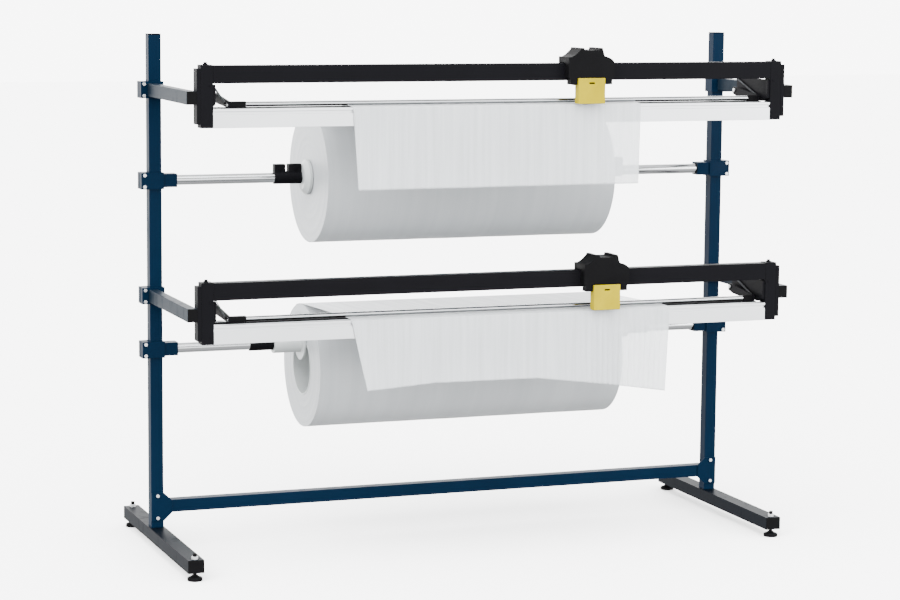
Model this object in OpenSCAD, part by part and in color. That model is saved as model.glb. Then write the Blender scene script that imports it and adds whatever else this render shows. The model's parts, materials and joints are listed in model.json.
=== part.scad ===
// Two-tier floor rack for wide film rolls, each tier with its own cutting rail.
// Origin: on the floor, at the centre of the footprint. +X runs along the rolls,
// -Y points to the user at the front, +Z is up.

/* [Stand] */
// Distance between the centres of the two uprights
upright_span = 1950; // [1900:10:2200]
// Side of the square upright tube
upright_w = 40; // [36:1:44]
// Wall of all the steel tubes
tube_wall = 3; // [2:0.5:4]
// Overall height of the stand
stand_h = 1636; // [1600:2:1800]
// Width of a foot beam
foot_w = 50; // [44:1:60]
// Height of a foot beam's section
foot_h = 40; // [36:1:50]
// Height of the underside of the foot beams above the floor
foot_gap = 26; // [24:1:30]
// Reach of the foot beams forward of the uprights
foot_front = 500; // [480:5:540]
// Reach of the foot beams behind the uprights
foot_back = 342; // [300:2:400]
// Underside of the brace between the uprights
brace_z = 114; // [100:2:200]

/* [Rolls] */
// Diameter of the upper film roll
upper_roll_d = 422; // [250:2:430]
// Diameter of the lower film roll
lower_roll_d = 400; // [300:2:430]
// Length of the upper film roll
upper_roll_len = 985; // [800:5:1000]
// Length of the lower film roll
lower_roll_len = 1050; // [900:5:1070]
// Sideways offset of the upper roll from the middle of the stand
upper_roll_shift = 24.5; // [0:0.5:40]
// Sideways offset of the lower roll from the middle of the stand
lower_roll_shift = 35; // [0:0.5:40]
// Outside diameter of the upper roll's core
core_d = 92; // [86:1:100]
// Bore of the upper roll's core
core_bore_d = 76; // [70:1:80]
// Diameter of the roll shafts
shaft_d = 32; // [28:1:34]
// Height of the upper roll shaft
upper_shaft_z = 1176.5; // [1170:0.5:1185]
// Height of the lower roll shaft
lower_shaft_z = 641; // [630:1:650]

/* [Cutting rails] */
// Drop from the upper cutting rail to the lower one
tier_drop = 648; // [640:1:660]
// Height of the centre of the upper arms
arm_z = 1462; // [1460:1:1466]
// Distance of the guide beam's centre forward of the uprights
rail_forward = 488; // [480:1:500]
// Depth of the guide beam and of the end posts
rail_d = 40; // [36:1:44]
// Height of the guide beam's section
beam_h = 53; // [48:1:55]
// Depth of the cutting table
table_d = 120; // [110:2:130]
// Height of the cutting table
table_h = 56; // [50:1:60]
// Diameter of the hold-down rod
rod_d = 15; // [12:0.5:16]
// Lift of the hold-down frame's levers above the table at their pivots
pivot_rise = 29; // [28:1:34]

/* [Cutter] */
// Half width of the cutter's saddle
saddle_half = 77; // [70:1:80]
// Width of the yellow blade guard
guard_w = 90; // [80:2:96]
// Depth of the blade guard
guard_d = 30; // [26:1:34]
// Position of the upper cutter along its beam
upper_cutter_x = 283; // [-500:1:500]
// Position of the lower cutter along its beam
lower_cutter_x = 346; // [-500:1:500]

/* [Hidden] */
$fn = 64;

navy = [0.06, 0.22, 0.36];
slate = [0.22, 0.29, 0.38];
black = [0.15, 0.15, 0.17];
zinc = [0.78, 0.79, 0.80];
silver = [0.82, 0.84, 0.86];
film_white = [0.88, 0.91, 0.93];
yellow = [0.96, 0.87, 0.12];

eps = 0.01;
running = 0.05;                          // radial clearance of a shaft in its hole
upright_x = upright_span / 2;
upright_in = upright_x - upright_w / 2;  // inner face of an upright
foot_top = foot_gap + foot_h;
cap_t = 3;                               // thickness of every end cap

// Each foot has a round pad on a threaded stud
pad_d = 46;
stud_d = 12;
stud_top = foot_top + 18;
stud_front = -480;                       // measured from the plane of the uprights
stud_back = 318;

// Guard front and rear foot caps are the extremes, so this centres the footprint
guard_front = rail_forward + rail_d / 2 + 7 + guard_d;
upright_y = (guard_front - foot_back) / 2;

// Collars round the uprights
collar_w = 52;
collar_h = 52;
ear_reach = 20;
ear_gap = 4;
collar_out = upright_x + collar_w / 2;
collar_bolt_x = collar_out + ear_reach / 2;
collar_bolt_z = 18;
bolt_d = 6;
bolt_hole = 6.4;
bolt_head = 11.5;                        // across the corners
socket_w = 42;
socket_in = 905;                         // inner end of a shaft socket
bush_d = 38;
bush_len = 40;

// Arms, side plates and end posts stand side by side
arm_w = 30;
arm_h = 40;
arm_in = upright_x - 5;
plate_t = 12;
post_w = 38;
post_out = arm_in - plate_t;
post_in = post_out - post_w;
post_bottom = arm_z - 90;
post_top = arm_z + 97;
rail_y = -rail_forward;                  // centre of the guide beam
rail_front = rail_y - rail_d / 2;
rail_back = rail_y + rail_d / 2;
beam_top = post_top - 2;
beam_bottom = beam_top - beam_h;
table_bottom = post_bottom;
table_top = table_bottom + table_h;
table_back = rail_front + table_d;

// Dark strip that the rod presses the film against
strip_proud = 2;
strip_w = 40;
strip_y = -455;
strip_sunk = 4;
film_gap = 2;                            // space for the film under the rod
rod_z = table_top + strip_proud + film_gap + rod_d / 2;
lever_xs = [-863, 897];                  // left face of each lever; the frame sits a little to the right
lever_t = 6;
block_h = 17;
block_d = 18;
left_block_len = 50;
right_block_len = 32;
pivot_y = -300;
pivot_z = table_top + pivot_rise;
pivot_d = 12;
bracket_t = 8;
spring_d = 7;
spring_wire = 1.4;
spring_xs = [lever_xs[0] - 5, lever_xs[1] + lever_t + 5];
spring_low = [-450, rod_z + 3];
spring_high = [pivot_y, pivot_z + 35];
spring_pin_d = 4;

// Cutter saddle wraps the guide beam
saddle_gap = 2;
saddle_front = rail_front - saddle_gap - 30;
saddle_back = rail_back + saddle_gap + 8;
saddle_top = beam_top + 48;
ear_bottom = beam_bottom - 12;
guard_bottom = table_top + 4.5;
guard_top = beam_bottom + 8;
guard_t = 2.5;
blade_t = 1;
blade_tip = table_top + 9;                // just above the film while the cutter is parked

// Roll ends
flange_d = 112;
cone_len = 46;
clamp_d = 41;
clamp_bore_d = shaft_d + 2 * running;
shaft_half = 930;
hub_d = 62;
stop_len = 97;
// The lower roll has a wide core, which hangs on its shaft
wide_bore_d = 183;
wide_core_d = wide_bore_d + 10;
hang_gap = 0.5;
lower_roll_z = lower_shaft_z + shaft_d / 2 + hang_gap - wide_bore_d / 2;

// Film sheets
film_t = 1;
film_w_upper = 951;
film_w_lower = 1068;
film_x_upper = -485;
film_x_lower = -488;
hang_upper = 253;
hang_lower = 222;

// ---- helpers ----

module placed() translate([0, upright_y, 0]) children();

module both_sides() {
    children();
    mirror([1, 0, 0]) children();
}

module both_tiers() {
    children();
    translate([0, 0, -tier_drop]) children();
}

module along_x(x0, x1) translate([x0, 0, 0]) rotate([90, 0, 90]) linear_extrude(x1 - x0) children();

module rod_x(d, x0, x1) translate([x0, 0, 0]) rotate([0, 90, 0]) cylinder(d = d, h = x1 - x0);

module rod_y(d, y0, y1) translate([0, y0, 0]) rotate([-90, 0, 0]) cylinder(d = d, h = y1 - y0);

module block(low, high) translate(low) cube(high - low);

module hollow_x(x0, x1, w, h, wall) along_x(x0, x1) difference() {
    square([w, h], center = true);
    square([w - 2 * wall, h - 2 * wall], center = true);
}

module hex_bolt_y(y_face, shank) {
    translate([0, y_face, 0]) rotate([90, 0, 0]) cylinder(d = bolt_head, h = 4, $fn = 6);
    rod_y(bolt_d, y_face, y_face + shank);
}

function unit(v) = v / norm(v);
function side_of(p, i) =
    let (d = unit(p[min(i + 1, len(p) - 1)] - p[max(i - 1, 0)])) [-d[1], d[0]];
function strip_outline(p, t) = concat(
    [for (i = [0 : len(p) - 1]) p[i] + side_of(p, i) * t / 2],
    [for (i = [len(p) - 1 : -1 : 0]) p[i] - side_of(p, i) * t / 2]);

// ---- stand ----

module foot_beam(side) color(navy) placed() translate([side * upright_x, 0, foot_gap]) difference() {
    block([-foot_w / 2, cap_t - foot_front, 0], [foot_w / 2, foot_back - cap_t, foot_h]);
    block([tube_wall - foot_w / 2, -foot_front, tube_wall],
          [foot_w / 2 - tube_wall, foot_back, foot_h - tube_wall]);
    for (y = [stud_front, stud_back])
        translate([0, y, -eps]) cylinder(d = stud_d + 2 * running, h = foot_h + 2 * eps);
}

module foot_cap(y_out, inward) {
    y_in = y_out + inward * cap_t;
    y_plug = y_in + inward * 5;
    wall = tube_wall + 0.2;
    block([-foot_w / 2, min(y_out, y_in), 0], [foot_w / 2, max(y_out, y_in), foot_h]);
    block([wall - foot_w / 2, min(y_in, y_plug), wall],
          [foot_w / 2 - wall, max(y_in, y_plug), foot_h - wall]);
}

module foot_end_caps() color(black) placed() both_sides() translate([upright_x, 0, foot_gap]) {
    foot_cap(-foot_front, 1);
    foot_cap(foot_back, -1);
}

module foot_lock_nuts() color(zinc) placed() both_sides()
    for (y = [stud_front, stud_back]) translate([upright_x, y, foot_top]) difference() {
        cylinder(d = 21, h = 9, $fn = 6);
        translate([0, 0, -eps]) cylinder(d = stud_d + 2 * running, h = 9 + 2 * eps);
    }

module levelling_foot(side, y) color(black) placed() translate([side * upright_x, y, 0]) {
    rotate_extrude() polygon([[0, 0], [pad_d / 2 - 1, 0], [pad_d / 2, 1.5], [pad_d / 2, 9],
        [pad_d / 2 - 3, 11], [10, 15], [10, 17], [0, 17]]);
    cylinder(d = stud_d, h = stud_top);
}

module upright(side) color(navy) placed() translate([side * upright_x, 0, foot_top]) difference() {
    tube_top = stand_h - cap_t - foot_top;
    block([-upright_w / 2, -upright_w / 2, 0], [upright_w / 2, upright_w / 2, tube_top]);
    block([tube_wall - upright_w / 2, tube_wall - upright_w / 2, -eps],
          [upright_w / 2 - tube_wall, upright_w / 2 - tube_wall, tube_top + eps]);
}

module upright_caps() color(black) placed() both_sides() translate([upright_x, 0, stand_h - cap_t]) {
    block([-upright_w / 2, -upright_w / 2, 0], [upright_w / 2, upright_w / 2, cap_t]);
    plug = upright_w / 2 - tube_wall - 0.2;
    block([-plug, -plug, -8], [plug, plug, 0]);
}

module brace_tube() color(navy) placed() translate([0, 0, brace_z + upright_w / 2])
    hollow_x(-upright_in, upright_in, upright_w, upright_w, tube_wall);

flange_t = 4;
flange_half = 45.5;
flange_reach = 27;
flange_bolt_z = 36;

module brace_flanges() color(navy) placed() both_sides()
    translate([0, -upright_w / 2, brace_z + upright_w / 2]) rotate([90, 0, 0]) linear_extrude(flange_t)
        difference() {
            polygon([[upright_x + upright_w / 2, -flange_half], [upright_in, -flange_half],
                [upright_in - flange_reach, -upright_w / 2], [upright_in - flange_reach, upright_w / 2],
                [upright_in, flange_half], [upright_x + upright_w / 2, flange_half]]);
            for (z = [-flange_bolt_z, flange_bolt_z]) translate([upright_x, z]) circle(d = bolt_hole);
        }

module brace_bolts() color(zinc) placed() both_sides()
    for (z = [-flange_bolt_z, flange_bolt_z])
        translate([upright_x, 0, brace_z + upright_w / 2 + z])
            hex_bolt_y(-upright_w / 2 - flange_t, flange_t);

// ---- collars and shaft sockets ----

module collar() difference() {
    union() {
        block([upright_x - collar_w / 2, -collar_w / 2, -collar_h / 2],
              [collar_out, collar_w / 2, collar_h / 2]);
        block([collar_out - eps, -collar_w / 2, -collar_h / 2],
              [collar_out + ear_reach, collar_w / 2, collar_h / 2]);
    }
    block([upright_in, -upright_w / 2, -collar_h], [upright_in + upright_w, upright_w / 2, collar_h]);
    block([upright_x, -ear_gap / 2, -collar_h], [collar_out + ear_reach + 1, ear_gap / 2, collar_h]);
    for (z = [-collar_bolt_z, collar_bolt_z])
        translate([collar_bolt_x, 0, z]) rod_y(bolt_hole, -collar_w, collar_w);
}

module arm_collars() color(navy) placed() both_sides() both_tiers() translate([0, 0, arm_z]) collar();

module shaft_heights() for (z = [upper_shaft_z, lower_shaft_z]) translate([0, 0, z]) children();

module shaft_sockets() color(navy) placed() both_sides() shaft_heights() {
    collar();
    difference() {
        block([socket_in, -socket_w / 2, -socket_w / 2],
              [upright_x - collar_w / 2, socket_w / 2, socket_w / 2]);
        rod_x(bush_d, socket_in - 1, upright_x - collar_w / 2 + 1);
    }
}

module shaft_bushes() color(black) placed() both_sides() shaft_heights() difference() {
    rod_x(bush_d, socket_in, socket_in + bush_len);
    rod_x(shaft_d + 2 * running, socket_in - 1, socket_in + bush_len + 1);
}

module collar_bolts() color(zinc) placed() both_sides() {
    heights = [arm_z, arm_z - tier_drop, upper_shaft_z, lower_shaft_z];
    for (z = heights, dz = [-collar_bolt_z, collar_bolt_z])
        translate([collar_bolt_x, 0, z + dz]) hex_bolt_y(-collar_w / 2, collar_w + 4);
}

// ---- arms, posts and beams; each is drawn for the upper tier and dropped for the lower ----

module arms(drop) color(slate) placed() both_sides()
    translate([arm_in + arm_w / 2, 0, arm_z - drop]) rotate([0, 0, 90])
        hollow_x(rail_front + cap_t, -collar_w / 2, arm_w, arm_h, tube_wall - 0.5);

module arm_end_caps() color(black) placed() both_sides() both_tiers()
    block([arm_in, rail_front, arm_z - arm_h / 2], [arm_in + arm_w, rail_front + cap_t, arm_z + arm_h / 2]);

plate_low = arm_z - 79;
plate_high = arm_z + 86;

module side_plates() color(black) placed() both_sides() both_tiers()
    block([post_out, rail_front, plate_low], [arm_in, rail_back, plate_high]);

module end_posts(drop) color(black) placed() both_sides() translate([0, 0, -drop]) difference() {
    block([post_in, rail_front, post_bottom], [post_out, rail_back, post_top]);
    block([post_in + tube_wall, rail_front + tube_wall, post_bottom - 1],
          [post_out - tube_wall, rail_back - tube_wall, post_top - tube_wall]);
}

module rail_screws() color(black) placed() both_sides() both_tiers() {
    for (z = [post_bottom + 22, beam_bottom - 6])
        translate([post_in + 10, 0, z]) rod_y(5.5, rail_front - 2, rail_front);
    translate([(post_in + post_out) / 2, rail_y, post_top]) {
        cylinder(d = 16, h = 3);
        cylinder(d = 11, h = 8, $fn = 6);
    }
}

module guide_beam(drop) color(black) placed() translate([0, rail_y, (beam_top + beam_bottom) / 2 - drop])
    hollow_x(-post_in, post_in, rail_d, beam_h, 2.5);

groove_z = 44;       // centre of the front groove above the table's underside
groove_h = 9;
knife_slot_w = 5;

module cutting_table(drop) color(silver) placed() translate([0, 0, table_bottom - drop])
    along_x(-post_in, post_in) difference() {
        translate([rail_front, 0]) square([table_d, table_h]);
        translate([rail_front - eps, groove_z - groove_h / 2]) square([6, groove_h]);
        translate([rail_y - knife_slot_w / 2, table_h - 12]) square([knife_slot_w, 13]);
        translate([strip_y - strip_w / 2, table_h - strip_sunk]) square([strip_w, strip_sunk + 1]);
        for (y = [4, 31]) translate([rail_front + y, 4]) square([24, 26]);
        for (y = [58, 88], z = [4, 28]) translate([rail_front + y, z]) square([27, 21]);
        for (y = [20, 70, 100]) translate([rail_front + y, -1]) square([6, 3]);
    }

strip_half = 906;

module clamping_strips() color(black) placed() both_tiers()
    block([-strip_half, strip_y - strip_w / 2, table_top - strip_sunk],
          [strip_half, strip_y + strip_w / 2, table_top + strip_proud]);

// ---- hold-down frame: a rod on two levers, pressed down by springs ----

module pivot_brackets() color(black) placed() both_tiers() {
    both_sides() along_x(post_in - bracket_t, post_in) difference() {
        polygon([[rail_front + 4, rod_z + 2], [rail_front + 4, beam_bottom - 4],
            [spring_high[0] - 12, spring_high[1] + 8], [pivot_y + 14, spring_high[1] + 8],
            [pivot_y + 14, pivot_z - 14], [table_back, table_top + 2], [rail_back, table_top + 2]]);
        translate([pivot_y, pivot_z]) circle(d = pivot_d);
    }
    translate([0, spring_high[0], spring_high[1]]) {
        rod_x(spring_pin_d, bracket_t - post_in - eps, spring_xs[0] + spring_d / 2);
        rod_x(spring_pin_d, spring_xs[1] - spring_d / 2, post_in - bracket_t + eps);
    }
}

module pivot_pins() color(zinc) placed() both_tiers() translate([0, pivot_y, pivot_z]) {
    rod_x(pivot_d, 0.2 - post_in, lever_xs[0] + lever_t + 4);
    rod_x(pivot_d, lever_xs[1] - 4, post_in - 0.2);
}

module hold_down_rod(drop) color(silver) placed() translate([0, strip_y, rod_z - drop])
    rod_x(rod_d, lever_xs[0], lever_xs[1] + lever_t);

module rod_block(x0, len) difference() {
    block([x0, -block_d / 2, -block_h / 2], [x0 + len, block_d / 2, block_h / 2]);
    rod_x(rod_d + 2 * running, x0 - 1, x0 + len + 1);
}

module rod_blocks(drop) color(black) placed() translate([0, strip_y, rod_z - drop]) {
    rod_block(lever_xs[0] + lever_t, left_block_len);
    rod_block(lever_xs[1] - right_block_len, right_block_len);
}

// Each lever is a plate from its pivot behind the table to the rod
module lever_plates(drop) color(black) placed() translate([0, 0, -drop]) {
    for (x = lever_xs) along_x(x, x + lever_t) difference() {
        polygon([[pivot_y + 12, pivot_z - 12], [pivot_y + 12, pivot_z + 10],
            [pivot_y - 12, pivot_z + 10], [strip_y + 6, rod_z + 11], [strip_y - 11, rod_z + 9],
            [strip_y - 11, rod_z - 9], [strip_y + 24, rod_z - 9], [pivot_y - 20, pivot_z - 20]]);
        translate([pivot_y, pivot_z]) circle(d = pivot_d + 2 * running);
        translate([strip_y, rod_z]) circle(d = rod_d + 2 * running);
    }
    translate([0, spring_low[0], spring_low[1]]) {
        rod_x(spring_pin_d, spring_xs[0] - spring_d / 2, lever_xs[0]);
        rod_x(spring_pin_d, lever_xs[1] + lever_t, spring_xs[1] + spring_d / 2);
    }
}

module springs(drop) color(zinc) placed() translate([0, 0, -drop]) {
    run = spring_high - spring_low;
    trim = spring_pin_d / 2 + 1;
    for (x = spring_xs) translate([x, spring_low[0], spring_low[1]])
        rotate([-atan2(run[0], run[1]), 0, 0]) translate([0, 0, trim]) difference() {
            cylinder(d = spring_d, h = norm(run) - 2 * trim);
            translate([0, 0, -1]) cylinder(d = spring_d - 2 * spring_wire, h = norm(run));
        }
}

// ---- cutter: drawn about its own centre, then moved along the beam ----

module at_cutter(drop, x) placed() translate([x, 0, -drop]) children();

module saddle_arch() {
    base = beam_top + saddle_gap;
    polygon(concat(
        [[-saddle_half, base], [-saddle_half, base + 18]],
        [for (a = [150 : -15 : 125]) [saddle_half * cos(a) * 0.99, base + 18 + 34 * (sin(a) - 0.5)]],
        [[-38, saddle_top - 6], [-36, saddle_top], [-26, saddle_top], [-24, saddle_top - 7]],
        [[24, saddle_top - 7], [26, saddle_top], [36, saddle_top], [38, saddle_top - 6]],
        [for (a = [55 : -15 : 0]) [saddle_half * cos(a) * 0.99, base + 26 * sin(a)]],
        [[saddle_half, base]]));
}

module saddle(drop, x) color(black) at_cutter(drop, x) {
    translate([0, saddle_back, 0]) rotate([90, 0, 0]) linear_extrude(saddle_back - saddle_front)
        saddle_arch();
    block([-saddle_half, saddle_front, guard_top], [saddle_half, rail_front - saddle_gap, beam_top + saddle_gap + eps]);
    block([-saddle_half, rail_back + saddle_gap, beam_bottom + 6],
          [saddle_half, saddle_back, beam_top + saddle_gap + eps]);
    for (s = [-1, 1])
        translate([s * (saddle_half - 18), 0, 0])
            block([-11, saddle_front, ear_bottom], [11, rail_front - saddle_gap, guard_top + eps]);
    web = guard_w / 2 - guard_t - 1;
    block([-web, rail_front - 12, ear_bottom - 4], [web, rail_front - saddle_gap, guard_top + eps]);
    block([-web, rail_front - 12, ear_bottom - 4], [web, rail_y + 8, beam_bottom - saddle_gap]);
    difference() {
        block([-30, rail_y - 6, table_top + 17], [30, rail_y + 6, ear_bottom - 4 + eps]);
        block([-24, rail_y - blade_t / 2, table_top], [24, rail_y + blade_t / 2, table_top + 30]);
    }
}

module blade_guard(drop, x) color(yellow) at_cutter(drop, x) difference() {
    back = -guard_front + guard_d;
    block([-guard_w / 2, -guard_front, guard_bottom], [guard_w / 2, back, guard_top - 0.3]);
    block([guard_t - guard_w / 2, guard_t - guard_front, guard_bottom - 1],
          [guard_w / 2 - guard_t, back + 1, guard_top - 0.3 - guard_t]);
    block([guard_t - guard_w / 2, rail_front - 12.3, guard_top - 5], [guard_w / 2 - guard_t, back + 1, guard_top]);
    translate([0, 0, guard_top - 16]) block([-9, -guard_front - 1, -2.5], [9, guard_t - guard_front + 1, 2.5]);
}

module blade(drop, x) color(silver) at_cutter(drop, x)
    translate([0, rail_y + blade_t / 2, 0]) rotate([90, 0, 0]) linear_extrude(blade_t)
        polygon([[-24, table_top + 30], [-24, table_top + 17], [-6, blade_tip],
            [6, blade_tip], [24, table_top + 17], [24, table_top + 30]]);

module glides(drop, x) color(film_white) at_cutter(drop, x) for (s = [-1, 1]) translate([s * 52, 0, 0]) {
    block([-14, rail_front + 6, beam_top + 0.3], [14, rail_back - 6, beam_top + saddle_gap]);
    block([-14, rail_front - saddle_gap, beam_bottom + 12], [14, rail_front - 0.3, beam_top - 12]);
    block([-14, rail_back + 0.3, beam_bottom + 12], [14, rail_back + saddle_gap, beam_top - 12]);
}

// ---- roll, with the shaft that turns in its sockets ----

upper_half = upper_roll_len / 2;
lower_half = lower_roll_len / 2;

module at_shaft(z) placed() translate([0, 0, z]) children();

module shaft(z) color(silver) at_shaft(z) rod_x(shaft_d, -shaft_half, shaft_half);

// Split ring with two pairs of lugs, pinched on the shaft outside each cone
module shaft_clamp(x0, len) {
    lug_top = 43.5;
    difference() {
        union() {
            rod_x(clamp_d, x0, x0 + len);
            block([x0, -12, 0], [x0 + len * 0.48, 12, lug_top]);
            block([x0 + len * 0.6, -12, 0], [x0 + len, 12, lug_top]);
        }
        rod_x(clamp_bore_d, x0 - 1, x0 + len + 1);
        block([x0 - 1, -1.5, 0], [x0 + len + 1, 1.5, lug_top + 1]);
        for (u = [0.24, 0.8]) translate([x0 + len * u, 0, 31]) rod_y(6.4, -13, 13);
    }
    for (u = [0.24, 0.8]) translate([x0 + len * u, 0, 31]) {
        rod_y(6, -12, 12);
        rod_y(10, -16, -12);
    }
}

module shaft_clamps(z, shift, inner, len) color(black) at_shaft(z) translate([shift, 0, 0])
    both_sides() shaft_clamp(inner, len);

module core_cone(x0, flange_len) difference() {
    union() {
        rod_x(flange_d, x0, x0 + flange_len * 0.4);
        translate([x0 + flange_len * 0.4 - eps, 0, 0]) rotate([0, 90, 0])
            cylinder(d1 = flange_d, d2 = flange_d * 0.72, h = flange_len * 0.6);
        translate([x0 + eps, 0, 0]) rotate([0, -90, 0])
            cylinder(d1 = core_bore_d - 0.2, d2 = core_bore_d - 14, h = cone_len);
    }
    rod_x(clamp_bore_d, x0 - cone_len - 1, x0 + flange_len + 1);
}

module core_cones() color(zinc) at_shaft(upper_shaft_z) translate([upper_roll_shift, 0, 0])
    both_sides() core_cone(upper_half + 1, 22);

// Flanged hubs beside the hanging roll, which keep it from moving along its shaft
module roll_stops() color(zinc) at_shaft(lower_shaft_z) translate([lower_roll_shift, 0, 0])
    both_sides() difference() {
        union() {
            rod_x(flange_d, lower_half + 1, lower_half + 7);
            rod_x(hub_d, lower_half + 7 - eps, lower_half + stop_len);
        }
        rod_x(clamp_bore_d, lower_half, lower_half + stop_len + 1);
    }

module roll_core(z, shift, half, d, bore_d) color(film_white) at_shaft(z) translate([shift, 0, 0]) difference() {
    rod_x(d, -half, half);
    rod_x(bore_d, -half - 1, half + 1);
}

module film_roll(z, shift, half, d, bore_d) color(film_white) at_shaft(z) translate([shift, 0, 0]) difference() {
    rod_x(d, -half, half);
    rod_x(bore_d + 0.1, -half - 1, half + 1);
}

// ---- film: leaves the top of the roll, crosses the table and hangs at the front ----

function leaves_roll(edge, shaft_z, r) =
    let (v = edge - [0, shaft_z], a = atan2(v[1], v[0]) - acos(r / norm(v)))
    [r * cos(a), shaft_z + r * sin(a)];

function film_route(shaft_z, roll_d, drop, hang) =
    let (top = table_top - drop,
         edge = [table_back + 1, top + 1.2],
         on_strip = top + strip_proud + film_gap / 2,
         front = rail_front - 2)
    [leaves_roll(edge, shaft_z, roll_d / 2 + 1.2), edge,
     [strip_y + strip_w / 2 + 2, on_strip], [strip_y - strip_w / 2 - 2, on_strip],
     [rail_front + 2, top + 1.6], [rail_front - 1.2, top + 1],
     [front, top - 1], [front - 2, top - hang / 2], [front - 3, top - hang]];

module film_sheet(shaft_z, roll_d, drop, hang, x0, w) color(film_white) placed()
    along_x(x0, x0 + w) polygon(strip_outline(film_route(shaft_z, roll_d, drop, hang), film_t));

foot_beam(-1);  // left_foot_beam
foot_beam(1);  // right_foot_beam
foot_end_caps();
foot_lock_nuts();
levelling_foot(-1, stud_front);  // front_left_levelling_foot
levelling_foot(1, stud_front);  // front_right_levelling_foot
levelling_foot(-1, stud_back);  // rear_left_levelling_foot
levelling_foot(1, stud_back);  // rear_right_levelling_foot
upright(-1);  // left_upright
upright(1);  // right_upright
upright_caps();
brace_tube();
brace_flanges();
brace_bolts();
arm_collars();
shaft_sockets();
shaft_bushes();
collar_bolts();
arms(0);  // upper_arms
arms(tier_drop);  // lower_arms
arm_end_caps();
side_plates();
rail_screws();
end_posts(0);  // upper_end_posts
end_posts(tier_drop);  // lower_end_posts
guide_beam(0);  // upper_guide_beam
guide_beam(tier_drop);  // lower_guide_beam
cutting_table(0);  // upper_cutting_table
cutting_table(tier_drop);  // lower_cutting_table
clamping_strips();
pivot_brackets();
pivot_pins();
hold_down_rod(0);  // upper_hold_down_rod
hold_down_rod(tier_drop);  // lower_hold_down_rod
rod_blocks(0);  // upper_rod_blocks
rod_blocks(tier_drop);  // lower_rod_blocks
lever_plates(0);  // upper_lever_plates
lever_plates(tier_drop);  // lower_lever_plates
springs(0);  // upper_springs
springs(tier_drop);  // lower_springs
saddle(0, upper_cutter_x);  // upper_saddle
saddle(tier_drop, lower_cutter_x);  // lower_saddle
blade_guard(0, upper_cutter_x);  // upper_blade_guard
blade_guard(tier_drop, lower_cutter_x);  // lower_blade_guard
blade(0, upper_cutter_x);  // upper_blade
blade(tier_drop, lower_cutter_x);  // lower_blade
glides(0, upper_cutter_x);  // upper_glides
glides(tier_drop, lower_cutter_x);  // lower_glides
shaft(upper_shaft_z);  // upper_shaft
shaft(lower_shaft_z);  // lower_shaft
shaft_clamps(upper_shaft_z, upper_roll_shift, upper_half + 26, 89);  // upper_shaft_clamps
shaft_clamps(lower_shaft_z, lower_roll_shift, lower_half + 98, 77);  // lower_shaft_clamps
core_cones();  // upper_core_cones
roll_stops();  // lower_roll_stops
roll_core(upper_shaft_z, upper_roll_shift, upper_half, core_d, core_bore_d);  // upper_roll_core
roll_core(lower_roll_z, lower_roll_shift, lower_half, wide_core_d, wide_bore_d);  // lower_roll_core
film_roll(upper_shaft_z, upper_roll_shift, upper_half, upper_roll_d, core_d);  // upper_film_roll
film_roll(lower_roll_z, lower_roll_shift, lower_half, lower_roll_d, wide_core_d);  // lower_film_roll
film_sheet(upper_shaft_z, upper_roll_d, 0, hang_upper, film_x_upper, film_w_upper);  // upper_film_sheet
film_sheet(lower_roll_z, lower_roll_d, tier_drop, hang_lower, film_x_lower, film_w_lower);  // lower_film_sheet
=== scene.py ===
import json
import math

import bmesh
import bpy
from mathutils import Matrix, Vector, noise


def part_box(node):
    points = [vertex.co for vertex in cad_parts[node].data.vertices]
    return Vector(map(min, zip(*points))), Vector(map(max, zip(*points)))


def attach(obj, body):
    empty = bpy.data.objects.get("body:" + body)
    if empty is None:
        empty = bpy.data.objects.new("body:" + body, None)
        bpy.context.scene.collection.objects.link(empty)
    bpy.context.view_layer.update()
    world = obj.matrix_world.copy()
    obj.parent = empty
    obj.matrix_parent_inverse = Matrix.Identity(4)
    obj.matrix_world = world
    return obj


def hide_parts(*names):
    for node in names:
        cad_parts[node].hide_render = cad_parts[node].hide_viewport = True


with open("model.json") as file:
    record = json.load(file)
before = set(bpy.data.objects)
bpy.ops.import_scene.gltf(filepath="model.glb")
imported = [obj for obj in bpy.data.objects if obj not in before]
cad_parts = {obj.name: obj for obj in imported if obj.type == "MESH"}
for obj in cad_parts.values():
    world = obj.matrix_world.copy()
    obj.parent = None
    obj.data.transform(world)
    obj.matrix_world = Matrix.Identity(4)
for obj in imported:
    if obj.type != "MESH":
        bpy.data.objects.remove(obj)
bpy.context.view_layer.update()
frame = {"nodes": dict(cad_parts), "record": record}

record = frame["record"]
body_of_node = {n: b for b, members in record["behaviour"]["bodies"].items() for n in members}
slot_of_node = {s["node"]: s["material_slot"] for s in record["subparts"]}
MM = 0.001


# ---------------------------------------------------------------- shader maths

class Wire:
    """The output of a shader node, with ordinary arithmetic on its value."""

    def __init__(self, finish, socket):
        self.finish = finish
        self.socket = socket

    def maths(self, operation, *values):
        return self.finish.node("ShaderNodeMath", {"operation": operation}, dict(enumerate(values)))

    def __add__(self, other):
        return self.maths("ADD", self, other)

    def __radd__(self, other):
        return self.maths("ADD", other, self)

    def __sub__(self, other):
        return self.maths("SUBTRACT", self, other)

    def __rsub__(self, other):
        return self.maths("SUBTRACT", other, self)

    def __mul__(self, other):
        return self.maths("MULTIPLY", self, other)

    def __rmul__(self, other):
        return self.maths("MULTIPLY", other, self)

    def __pow__(self, other):
        return self.maths("POWER", self, other)

    def sine(self):
        return self.maths("SINE", self)

    def limited(self):
        return self.finish.node("ShaderNodeClamp", {}, {0: self})


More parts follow.
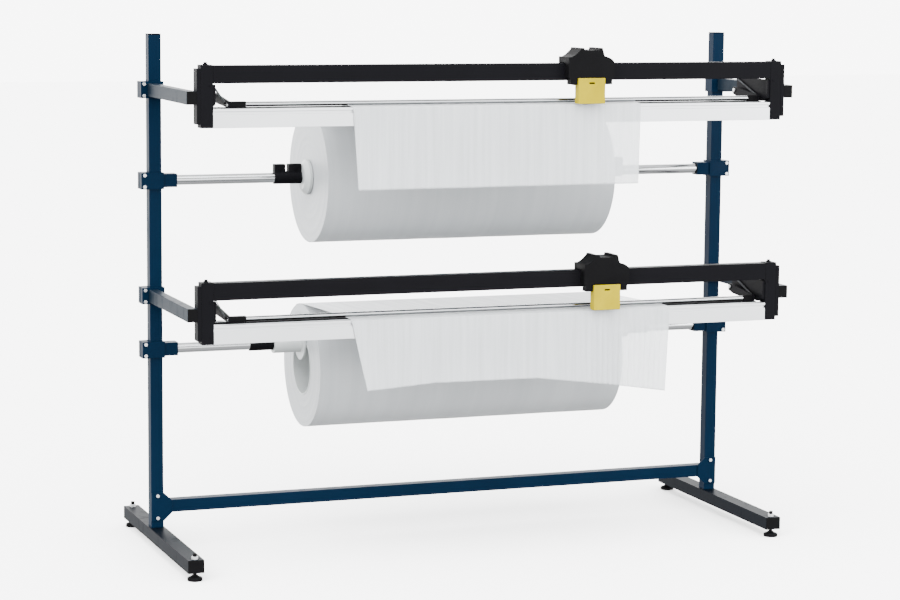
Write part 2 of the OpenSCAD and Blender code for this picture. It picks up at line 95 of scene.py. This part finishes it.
class Finish:
    """A surface finish: a Principled shader and the nodes that vary it over the piece."""

    def __init__(self, name, **constants):
        self.material = bpy.data.materials.new(name)
        self.material.use_nodes = True
        self.tree = self.material.node_tree
        self.shader = next(n for n in self.tree.nodes if n.type == "BSDF_PRINCIPLED")
        for words, value in constants.items():
            self.shader.inputs[words.replace("_", " ")].default_value = value

    def node(self, kind, settings=None, values=None, output=0):
        made = self.tree.nodes.new(kind)
        for name, value in (settings or {}).items():
            if name == "stops":
                self.set_stops(made.color_ramp, value)
            else:
                setattr(made, name, value)
        for key, value in (values or {}).items():
            if isinstance(value, Wire):
                self.tree.links.new(value.socket, made.inputs[key])
            else:
                made.inputs[key].default_value = value
        return Wire(self, made.outputs[output])

    @staticmethod
    def set_stops(ramp, stops):
        while len(ramp.elements) < len(stops):
            ramp.elements.new(0.5)
        for element, (position, level) in zip(ramp.elements, stops):
            element.position = position
            element.color = (level, level, level, 1)

    def place(self, stretch=(1, 1, 1), centre=(0, 0, 0)):
        """Object coordinates in metres, measured from a centre and stretched."""
        spot = self.node("ShaderNodeTexCoord", output="Object")
        shift = tuple(-c * s for c, s in zip(centre, stretch))
        return self.node("ShaderNodeMapping", {}, {"Vector": spot, "Scale": stretch, "Location": shift})

    def noise(self, scale, detail=3.0, stretch=(1, 1, 1), roughness=0.55):
        values = {"Vector": self.place(stretch), "Scale": scale, "Detail": detail, "Roughness": roughness}
        return self.node("ShaderNodeTexNoise", {}, values)

    def mix(self, factor, a, b):
        return self.node("ShaderNodeMix", {"data_type": "RGBA"}, {0: factor, 6: a, 7: b}, 2)

    def ramp(self, value, stops):
        return self.node("ShaderNodeValToRGB", {"stops": stops}, {0: value})

    def drive(self, **links):
        for words, wire in links.items():
            self.tree.links.new(wire.socket, self.shader.inputs[words.replace("_", " ")])

    def bump(self, height, distance, strength=1.0):
        values = {"Height": height, "Distance": distance, "Strength": strength}
        self.drive(Normal=self.node("ShaderNodeBump", {}, values))


def shade(colour, factor):
    return tuple(c * factor for c in colour[:3]) + (1,)


# The lights are strong, so painted and moulded parts show only a share of the record's colour and gloss
LIT_SHARE = 0.11
PAINT_GLOSS = 0.015


def powder_coat(name, colour, roughness=0.38):
    """Satin powder coat: fine orange peel, a little unevenness and dulled patches."""
    paint = Finish(name, Specular_IOR_Level=PAINT_GLOSS)
    colour = shade(colour, LIT_SHARE)
    cloud = paint.noise(7.0, 4.0)
    peel = paint.noise(900.0, 2.0)
    scuff = paint.ramp(paint.noise(26.0, 6.0, (1, 1, 0.25)), [(0.55, 0.0), (0.8, 1.0)])
    paint.drive(Base_Color=paint.mix(cloud, shade(colour, 0.85), shade(colour, 1.18)),
                Roughness=roughness + 0.05 * peel + 0.14 * scuff)
    paint.bump(peel, 0.00006, 0.5)
    return paint.material


def moulded_plastic(name, colour, roughness=0.5, grain=1600.0, share=LIT_SHARE):
    """Injection moulding with a spark-eroded grain."""
    plastic = Finish(name, Specular_IOR_Level=PAINT_GLOSS)
    colour = shade(colour, share)
    cloud = plastic.noise(14.0, 3.0)
    pits = plastic.noise(grain, 2.0)
    plastic.drive(Base_Color=plastic.mix(cloud, shade(colour, 0.8), shade(colour, 1.25)),
                  Roughness=roughness - 0.06 + 0.16 * pits)
    plastic.bump(pits, 0.00005, 0.6)
    return plastic.material


def anodised_extrusion(name, colour):
    """Clear anodised aluminium with faint die lines along its length."""
    metal = Finish(name, Metallic=1.0)
    lines = metal.noise(1.0, 5.0, (3, 1400, 1400), 0.7)
    cloud = metal.noise(5.0, 2.0, (0.4, 1, 1))
    metal.drive(Base_Color=metal.mix(cloud, shade(colour, 0.52), shade(colour, 0.62)),
                Roughness=0.3 + 0.16 * lines)
    metal.bump(lines, 0.00003, 0.5)
    return metal.material


def hard_chrome(name, colour):
    """Ground and chromed bar, with fine turning marks round it and a few dull smears."""
    metal = Finish(name, Metallic=1.0)
    rings = metal.noise(1.0, 2.0, (2600, 8, 8))
    smear = metal.ramp(metal.noise(9.0, 5.0, (0.4, 1, 1)), [(0.5, 0.0), (0.75, 1.0)])
    metal.drive(Base_Color=metal.mix(smear, shade(colour, 0.36), shade(colour, 0.3)),
                Roughness=0.12 + 0.05 * rings + 0.12 * smear)
    metal.bump(rings, 0.00001, 0.4)
    return metal.material


def zinc_plate(name, colour, roughness=0.3):
    """Bright zinc plate with its faint mottling."""
    metal = Finish(name, Metallic=1.0)
    cells = metal.node("ShaderNodeTexVoronoi", {}, {"Vector": metal.place(), "Scale": 260.0})
    cloud = metal.noise(60.0, 3.0)
    metal.drive(Base_Color=metal.mix(cloud, shade(colour, 0.5), shade(colour, 0.66)),
                Roughness=roughness + 0.18 * cells)
    metal.bump(cloud, 0.00004, 0.4)
    return metal.material


def matt_rubber(name, colour):
    rubber = Finish(name, Roughness=0.8, Specular_IOR_Level=PAINT_GLOSS)
    colour = shade(colour, LIT_SHARE)
    dust = rubber.ramp(rubber.noise(40.0, 6.0, (0.3, 1, 1)), [(0.45, 0.0), (0.9, 1.0)])
    pits = rubber.noise(700.0, 3.0)
    rubber.drive(Base_Color=rubber.mix(dust, shade(colour, 1.0), shade(colour, 2.6)))
    rubber.bump(pits, 0.0001, 0.5)
    return rubber.material


def extruded_tube(name, colour):
    """Pale extruded plastic with faint drawing marks along it."""
    tube = Finish(name, Roughness=0.45)
    marks = tube.noise(1.0, 4.0, (4, 500, 500))
    cloud = tube.noise(16.0, 3.0)
    tube.drive(Base_Color=tube.mix(0.4 * marks + 0.6 * cloud, shade(colour, 0.3), shade(colour, 0.48)))
    tube.bump(marks, 0.0001, 0.5)
    return tube.material


def wound_film(name, colour, centre):
    """Film wound on a roll: gauge bands round it, faint wrinkles, and layer rings on its ends."""
    film = Finish(name, Specular_IOR_Level=0.25)
    bands = film.noise(1.0, 4.0, (34, 0.6, 0.6))
    wrinkles = film.noise(1.0, 4.0, (16, 3, 9))
    spot = film.place((0, 1, 1), centre)
    radius = film.node("ShaderNodeVectorMath", {"operation": "LENGTH"}, {0: spot}, "Value")
    layers = film.node("ShaderNodeTexNoise", {"noise_dimensions": "1D"},
                       {"W": radius, "Scale": 260.0, "Detail": 6.0, "Roughness": 0.7})
    tint = 0.45 * bands + 0.2 * wrinkles + 0.5 * layers
    film.drive(Base_Color=film.mix(tint.limited(), shade(colour, 0.2), shade(colour, 0.34)),
               Roughness=0.34 + 0.2 * wrinkles)
    film.bump(0.5 * bands + 0.5 * wrinkles + 0.6 * layers, 0.0012, 0.6)
    return film.material


def loose_film(name, colour):
    """A single web of milky film: see-through in part, with soft creases along the pull."""
    film = Finish(name, Specular_IOR_Level=0.3)
    creases = film.noise(1.0, 4.0, (60, 2.2, 2.2))
    fine = film.noise(1.0, 3.0, (420, 5, 5))
    film.drive(Base_Color=film.mix(creases, shade(colour, 0.42), shade(colour, 0.5)),
               Alpha=(0.42 + 0.26 * creases + 0.1 * fine).limited(),
               Roughness=0.28 + 0.2 * fine)
    film.bump(0.7 * creases + 0.3 * fine, 0.0015, 0.6)
    return film.material


slot_colour = {m["slot"]: tuple(m["base_color"][:3]) for m in record["materials"]}
finishes = {
    "foot_paint": powder_coat("dark_powder_coat", slot_colour["foot_paint"], 0.42),
    "navy_paint": powder_coat("navy_powder_coat", slot_colour["navy_paint"]),
    "slate_paint": powder_coat("slate_powder_coat", slot_colour["slate_paint"]),
    "black_paint": powder_coat("black_powder_coat", slot_colour["black_paint"], 0.45),
    "black_plastic": moulded_plastic("black_moulding", slot_colour["black_plastic"]),
    "yellow_plastic": moulded_plastic("yellow_moulding", slot_colour["yellow_plastic"], 0.45, 500.0, 0.2),
    "glide_plastic": moulded_plastic("glide_moulding", slot_colour["glide_plastic"], 0.4, 900.0, 0.3),
    "anodised": anodised_extrusion("clear_anodised", slot_colour["anodised"]),
    "zinc_steel": zinc_plate("bright_zinc", slot_colour["zinc_steel"]),
    "spring_steel": zinc_plate("black_spring_steel", slot_colour["spring_steel"], 0.4),
    "chrome_steel": hard_chrome("hard_chrome", slot_colour["chrome_steel"]),
    "blade_steel": zinc_plate("ground_steel", slot_colour["blade_steel"], 0.18),
    "strip_rubber": matt_rubber("black_rubber", slot_colour["strip_rubber"]),
    "core_plastic": extruded_tube("core_plastic", slot_colour["core_plastic"]),
    "film": loose_film("milky_film", slot_colour["film"]),
}


# ---------------------------------------------------------------- pieces

def add_piece(name, bm, finish, body, stands_for=(), sharp_angle=20.0):
    """Makes an object of a finished bmesh, riding on a body."""
    mesh = bpy.data.meshes.new(name)
    bm.to_mesh(mesh)
    bm.free()
    for face in mesh.polygons:
        face.use_smooth = True
    mesh.set_sharp_from_angle(angle=math.radians(sharp_angle))
    mesh.materials.append(finish)
    piece = bpy.data.objects.new(name, mesh)
    bpy.context.scene.collection.objects.link(piece)
    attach(piece, body)
    if stands_for:
        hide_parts(*stands_for)
    return piece


EDGE_WIDTHS = {
    "left_upright": 2.5, "right_upright": 2.5, "brace_tube": 2.5,
    "left_foot_beam": 2.5, "right_foot_beam": 2.5, "foot_end_caps": 1.5,
    "upper_arms": 2.0, "lower_arms": 2.0, "arm_end_caps": 1.2, "side_plates": 1.0,
    "upper_end_posts": 2.0, "lower_end_posts": 2.0, "upper_guide_beam": 2.0, "lower_guide_beam": 2.0,
    "arm_collars": 1.5, "shaft_sockets": 1.5, "upper_cutting_table": 0.8, "lower_cutting_table": 0.8,
    "clamping_strips": 2.0, "upper_blade_guard": 1.2, "lower_blade_guard": 1.2,
    "upper_saddle": 1.5, "lower_saddle": 1.5, "upper_blade": 0.2, "lower_blade": 0.2,
    "upper_shaft": 1.5, "lower_shaft": 1.5, "upper_glides": 0.3, "lower_glides": 0.3,
}
MADE_BY_HAND = ["upper_springs", "lower_springs", "upper_film_roll", "lower_film_roll",
                "upper_film_sheet", "lower_film_sheet"]


def softened(node):
    """A copy of a CAD node whose sharp edges are rounded over."""
    bm = bmesh.new()
    bm.from_mesh(frame["nodes"][node].data)
    bmesh.ops.remove_doubles(bm, verts=bm.verts, dist=1e-6)
    bmesh.ops.dissolve_limit(bm, angle_limit=math.radians(1), verts=bm.verts, edges=bm.edges)
    sharp = [e for e in bm.edges if e.is_manifold and e.calc_face_angle() > math.radians(40)]
    bmesh.ops.bevel(bm, geom=sharp, offset=EDGE_WIDTHS.get(node, 0.6) * MM, segments=2, profile=0.5,
                    affect="EDGES", clamp_overlap=True, material=-1)
    slot = slot_of_node[node]
    add_piece(node + "_body", bm, finishes[slot], body_of_node[node], [node])


for node in sorted(set(frame["nodes"]) - set(MADE_BY_HAND)):
    softened(node)


# ---------------------------------------------------------------- rolls

def film_roll(tier):
    """Film wound on its core: a spun profile with uneven layers on both ends."""
    node = tier + "_film_roll"
    low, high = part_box(node)
    core_low, core_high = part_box(tier + "_roll_core")
    centre = (low + high) / 2
    outer = (high.z - low.z) / 2
    inner = (core_high.z - core_low.z) / 2 + 0.3 * MM
    half = (high.x - low.x) / 2
    bm = bmesh.new()
    outline = []
    rings = 26
    for side in (-1, 1):
        end = []
        for i in range(rings + 1):
            r = inner + (outer - 3 * MM - inner) * i / rings
            step = 2.2 * MM * (0.5 + 0.5 * noise.noise((r * 60, side * 3.1, outer)))
            end.append((side * (half - step), r))
        outline.append(end)
    rim = [(-half + 1.2 * MM, outer - 0.8 * MM)]
    columns = 60
    for i in range(columns + 1):
        x = (-half + 4 * MM) + (2 * half - 8 * MM) * i / columns
        band = 0.7 * MM * noise.noise((x * 9, 1.7, outer))
        rim.append((x, outer - 0.8 * MM + band))
    rim.append((half - 1.2 * MM, outer - 0.8 * MM))
    profile = outline[0] + rim + outline[1][::-1]
    points = [bm.verts.new((centre.x + x, centre.y, centre.z + r)) for x, r in profile]
    edges = [bm.edges.new((a, b)) for a, b in zip(points, points[1:] + points[:1])]
    bmesh.ops.spin(bm, geom=points + edges, cent=centre, axis=(1, 0, 0), angle=math.tau, steps=144,
                   use_merge=True)
    bmesh.ops.remove_doubles(bm, verts=bm.verts, dist=1e-6)
    bmesh.ops.recalc_face_normals(bm, faces=bm.faces)
    finish = wound_film(tier + "_wound_film", slot_colour["wound_film"], centre)
    add_piece(tier + "_film_winding", bm, finish, tier + "_roll", [node], 40.0)


for tier in ("upper", "lower"):
    film_roll(tier)


# ---------------------------------------------------------------- springs

def springs(tier):
    """Both of a tier's hold-down springs, as coils between their pins."""
    low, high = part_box(tier + "_springs")
    wire = 0.7 * MM
    outer = 3.5 * MM
    turns = 40
    steps = 12
    run = high - low
    lean = math.atan2(run.z, run.y)
    for _ in range(4):
        rise = run.z - 2 * outer * math.cos(lean)
        reach = run.y - 2 * outer * math.sin(lean)
        lean = math.atan2(rise, reach)
    length = math.hypot(rise, reach) - 2 * wire
    bm = bmesh.new()
    for x in (low.x + outer, high.x - outer):
        middle = Vector((x, (low.y + high.y) / 2, (low.z + high.z) / 2))
        made = bmesh.ops.create_circle(bm, cap_ends=True, radius=wire, segments=8,
                                       matrix=Matrix.Translation((outer - wire, 0, -length / 2))
                                       @ Matrix.Rotation(math.pi / 2, 4, "X"))
        faces = list({f for v in made["verts"] for f in v.link_faces})
        edges = list({e for v in made["verts"] for e in v.link_edges})
        spun = bmesh.ops.spin(bm, geom=made["verts"] + edges + faces, cent=(0, 0, 0), axis=(0, 0, 1),
                              dvec=(0, 0, length / (turns * steps)), angle=math.tau * turns,
                              steps=turns * steps, use_merge=False)
        coil = {v for v in bm.verts if not v.tag}
        turn = Matrix.Translation(middle) @ Matrix.Rotation(lean - math.pi / 2, 4, "X")
        bmesh.ops.transform(bm, matrix=turn, verts=list(coil))
        for v in coil:
            v.tag = True
    bmesh.ops.recalc_face_normals(bm, faces=bm.faces)
    add_piece(tier + "_spring_coils", bm, finishes["spring_steel"], tier + "_hold_down",
              [tier + "_springs"], 50.0)


for tier in ("upper", "lower"):
    springs(tier)


# ---------------------------------------------------------------- film sheets

def between(table, u):
    """Reads a short list of (position, value) pairs at u, straight from one to the next."""
    for (a, low), (b, high) in zip(table, table[1:]):
        if u <= b:
            return low + (high - low) * max(0.0, (u - a) / (b - a))
    return table[-1][1]


def film_path(tier):
    """Points (y, z) of the film's way from the roll, over the table, to the hem."""
    roll_low, roll_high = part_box(tier + "_film_roll")
    table_low, table_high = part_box(tier + "_cutting_table")
    upper_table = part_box("upper_cutting_table")[1].z
    strip_low, strip_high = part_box("clamping_strips")
    proud = strip_high.z - upper_table
    top = table_high.z
    axis = Vector(((roll_low.y + roll_high.y) / 2, (roll_low.z + roll_high.z) / 2))
    radius = (roll_high.z - roll_low.z) / 2 + 0.6 * MM
    edge = Vector((table_high.y + 1 * MM, top + 1.2 * MM))
    away = edge - axis
    leave = math.atan2(away.y, away.x) - math.acos(radius / away.length)
    points = [axis + radius * Vector((math.cos(leave - a), math.sin(leave - a)))
              for a in (0.30, 0.2, 0.1, 0.0)]
    start = points[-1]
    points += [start.lerp(edge, t) for t in (0.15, 0.3, 0.45, 0.6, 0.75, 0.9)]
    on_strip = top + proud + 1 * MM
    points += [edge, Vector((strip_high.y + 2 * MM, on_strip)), Vector((strip_low.y - 2 * MM, on_strip)),
               Vector((table_low.y + 2 * MM, top + 1.6 * MM)), Vector((table_low.y - 1.2 * MM, top + 1 * MM)),
               Vector((table_low.y - 2 * MM, top - 1 * MM))]
    return points


def film_sheet(tier, width_at, hem, pleats, columns):
    """A web of film from its roll, under the rod and over the table, ending in a free hem.

    width_at gives the left and right edges at the roll, at the table's lip and at the hem.
    hem lists (share of the width, height of the hem). pleats lists (from, to, waves, depth)."""
    points = film_path(tier)
    lip = points[-1]
    lengths = [0.0]
    for a, b in zip(points, points[1:]):
        lengths.append(lengths[-1] + (b - a).length)
    lip_at = lengths[-1]
    rows_flat, rows_hang = 46, 40
    bm = bmesh.new()
    bmesh.ops.create_grid(bm, x_segments=columns, y_segments=rows_flat + rows_hang, size=0.5)
    for v in bm.verts:
        u = v.co.x + 0.5
        row = (v.co.y + 0.5) * (rows_flat + rows_hang)
        if row <= rows_flat:
            s = lip_at * row / rows_flat
            k = max(i for i in range(len(lengths)) if lengths[i] <= s + 1e-9)
            k = min(k, len(points) - 2)
            share = (s - lengths[k]) / (lengths[k + 1] - lengths[k])
            y, z = points[k].lerp(points[k + 1], share)
            t = s / lip_at
            x = between([(0, width_at[0][0]), (1, width_at[1][0])], t) * (1 - u) \
                + between([(0, width_at[0][1]), (1, width_at[1][1])], t) * u
            free = max(0.0, math.sin(math.pi * min(1.0, (s - lengths[3]) / (lengths[10] - lengths[3])))) \
                if lengths[3] < s < lengths[10] else 0.0
            z += free * 1.6 * MM * (noise.noise((x * 11, s * 2.0, 4.0)) + 0.6 * noise.noise((x * 46, s, 7.0)))
        else:
            d = (row - rows_flat) / rows_hang
            drop = (lip.y - between(hem, u)) * d
            z = lip.y - drop
            x = (width_at[1][0] + (width_at[2][0] - width_at[1][0]) * d) * (1 - u) \
                + (width_at[1][1] + (width_at[2][1] - width_at[1][1]) * d) * u
            swing = 0.5 + 0.5 * noise.noise((x * 5.0, d * 0.8, 2.0))
            fold = 0.5 + 0.5 * noise.noise((x * 17.0, d * 0.6, 9.0))
            out = d * (9 * MM * swing + 4 * MM * fold)
            for begin, end, waves, depth in pleats:
                if begin < u < end:
                    across = (u - begin) / (end - begin)
                    fade = min(1.0, 6 * across, 6 * (1 - across)) * min(1.0, 3 * d)
                    out += fade * depth * (0.5 + 0.5 * math.sin(math.tau * waves * across))
            y = lip.x - 0.4 * MM - out
        v.co = (x, y, z)
    bmesh.ops.recalc_face_normals(bm, faces=bm.faces)
    area = sum(f.calc_area() for f in bm.faces)
    mean_width = sum(b - a for a, b in width_at) / 3
    sheet = add_piece(tier + "_film_web", bm, finishes["film"], "stand",
                      [tier + "_film_sheet"], 60.0)
    wall = sheet.modifiers.new("film", "SOLIDIFY")
    wall.thickness = 0.3 * MM
    wall.offset = 0.0
    area / mean_width


roll_low, roll_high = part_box("upper_film_roll")
web_low, web_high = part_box("upper_film_sheet")
film_sheet("upper",
           [(roll_low.x, roll_high.x), (web_low.x, web_high.x), (web_low.x + 16 * MM, web_high.x - 8 * MM)],
           [(0.0, web_low.z + 2 * MM), (0.5, web_low.z + 3 * MM), (1.0, web_low.z + 4 * MM)],
           [(0.85, 1.0, 4, 2.5 * MM)], 190)
low_roll, high_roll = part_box("lower_film_roll")
low_web, high_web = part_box("lower_film_sheet")
film_sheet("lower",
           [(low_roll.x, high_roll.x), (low_web.x, high_web.x), (low_web.x + 50 * MM, high_web.x - 16 * MM)],
           [(0.0, low_web.z + 2 * MM), (0.22, low_web.z + 17 * MM), (0.56, low_web.z + 15 * MM),
            (0.82, low_web.z - 18 * MM), (1.0, low_web.z - 46 * MM)],
           [(0.70, 1.0, 17, 5 * MM), (0.0, 0.3, 5, 3 * MM)], 330)


# ---------------------------------------------------------------- studio

FLOOR_HALF = 30
SKY_STRENGTH = 8.0
SUN_STRENGTH = 13
SUN_SPREAD = math.radians(80)
SUN_TILT = math.radians(38)


def studio():
    bm = bmesh.new()
    bmesh.ops.create_grid(bm, x_segments=1, y_segments=1, size=FLOOR_HALF)
    mesh = bpy.data.meshes.new("floor")
    bm.to_mesh(mesh)
    bm.free()
    floor = bpy.data.objects.new("floor", mesh)
    bpy.context.scene.collection.objects.link(floor)
    paper = Finish("studio_floor", Roughness=0.9)
    cloud = paper.noise(0.6, 2.0)
    paper.drive(Base_Color=paper.mix(cloud, (0.89, 0.89, 0.89, 1), (0.91, 0.91, 0.91, 1)))
    mesh.materials.append(paper.material)
    # The floor is seen but doesn't light the object or mirror in it, so undersides stay grey
    floor.visible_diffuse = False
    floor.visible_glossy = False

    world = bpy.data.worlds.new("studio")
    bpy.context.scene.world = world
    world.use_nodes = True
    tree = world.node_tree
    sky = tree.nodes["Background"]
    sky.inputs["Strength"].default_value = SKY_STRENGTH
    direction = tree.nodes.new("ShaderNodeTexCoord")
    parts = tree.nodes.new("ShaderNodeSeparateXYZ")
    height = tree.nodes.new("ShaderNodeMath")
    height.operation = "MULTIPLY_ADD"
    height.inputs[1].default_value = 0.5
    height.inputs[2].default_value = 0.5
    fade = tree.nodes.new("ShaderNodeValToRGB")
    below, horizon, overhead = [(0.0, 0.2), (0.40, 0.28)], [(0.45, 1.0), (0.7, 1.0)], [(0.82, 0.5), (1.0, 0.45)]
    Finish.set_stops(fade.color_ramp, below + horizon + overhead)
    tree.links.new(direction.outputs["Generated"], parts.inputs[0])
    tree.links.new(parts.outputs["Z"], height.inputs[0])
    tree.links.new(height.outputs[0], fade.inputs[0])
    tree.links.new(fade.outputs[0], sky.inputs["Color"])

    softbox("fill", (4.0, -4.0, 2.4), 2.2, 250)
    light = bpy.data.lights.new("key", "SUN")
    light.energy = SUN_STRENGTH
    light.angle = SUN_SPREAD
    key = bpy.data.objects.new("key", light)
    key.rotation_euler = (SUN_TILT, 0, -SUN_TILT)
    bpy.context.scene.collection.objects.link(key)


def softbox(name, spot, size, power):
    light = bpy.data.lights.new(name, "AREA")
    light.shape = "SQUARE"
    light.size = size
    light.energy = power
    lamp = bpy.data.objects.new(name, light)
    lamp.location = spot
    aim = Vector((0, -0.2, 0.9)) - Vector(spot)
    lamp.rotation_euler = aim.to_track_quat("-Z", "Y").to_euler()
    bpy.context.scene.collection.objects.link(lamp)


def camera():
    """A long lens to the front left, a little above the upper beam, turned to the right and down."""
    spot = Vector((-2.957, -7.8787, 1.885))
    yaw, pitch, roll = math.radians(20.47), math.radians(7.53), math.radians(0.49)
    forward = Vector((math.sin(yaw) * math.cos(pitch), math.cos(yaw) * math.cos(pitch), -math.sin(pitch)))
    right = Vector((math.cos(yaw), -math.sin(yaw), 0))
    up = right.cross(forward)
    right_rolled = math.cos(roll) * right + math.sin(roll) * up
    up_rolled = math.cos(roll) * up - math.sin(roll) * right
    lens = bpy.data.cameras.new("camera")
    lens.lens = 104.23
    lens.sensor_width = 36
    lens.clip_end = 100
    eye = bpy.data.objects.new("camera", lens)
    turn = Matrix((right_rolled, up_rolled, -forward)).transposed().to_4x4()
    eye.matrix_world = Matrix.Translation(spot) @ turn
    bpy.context.scene.collection.objects.link(eye)
    bpy.context.scene.camera = eye


studio()
camera()
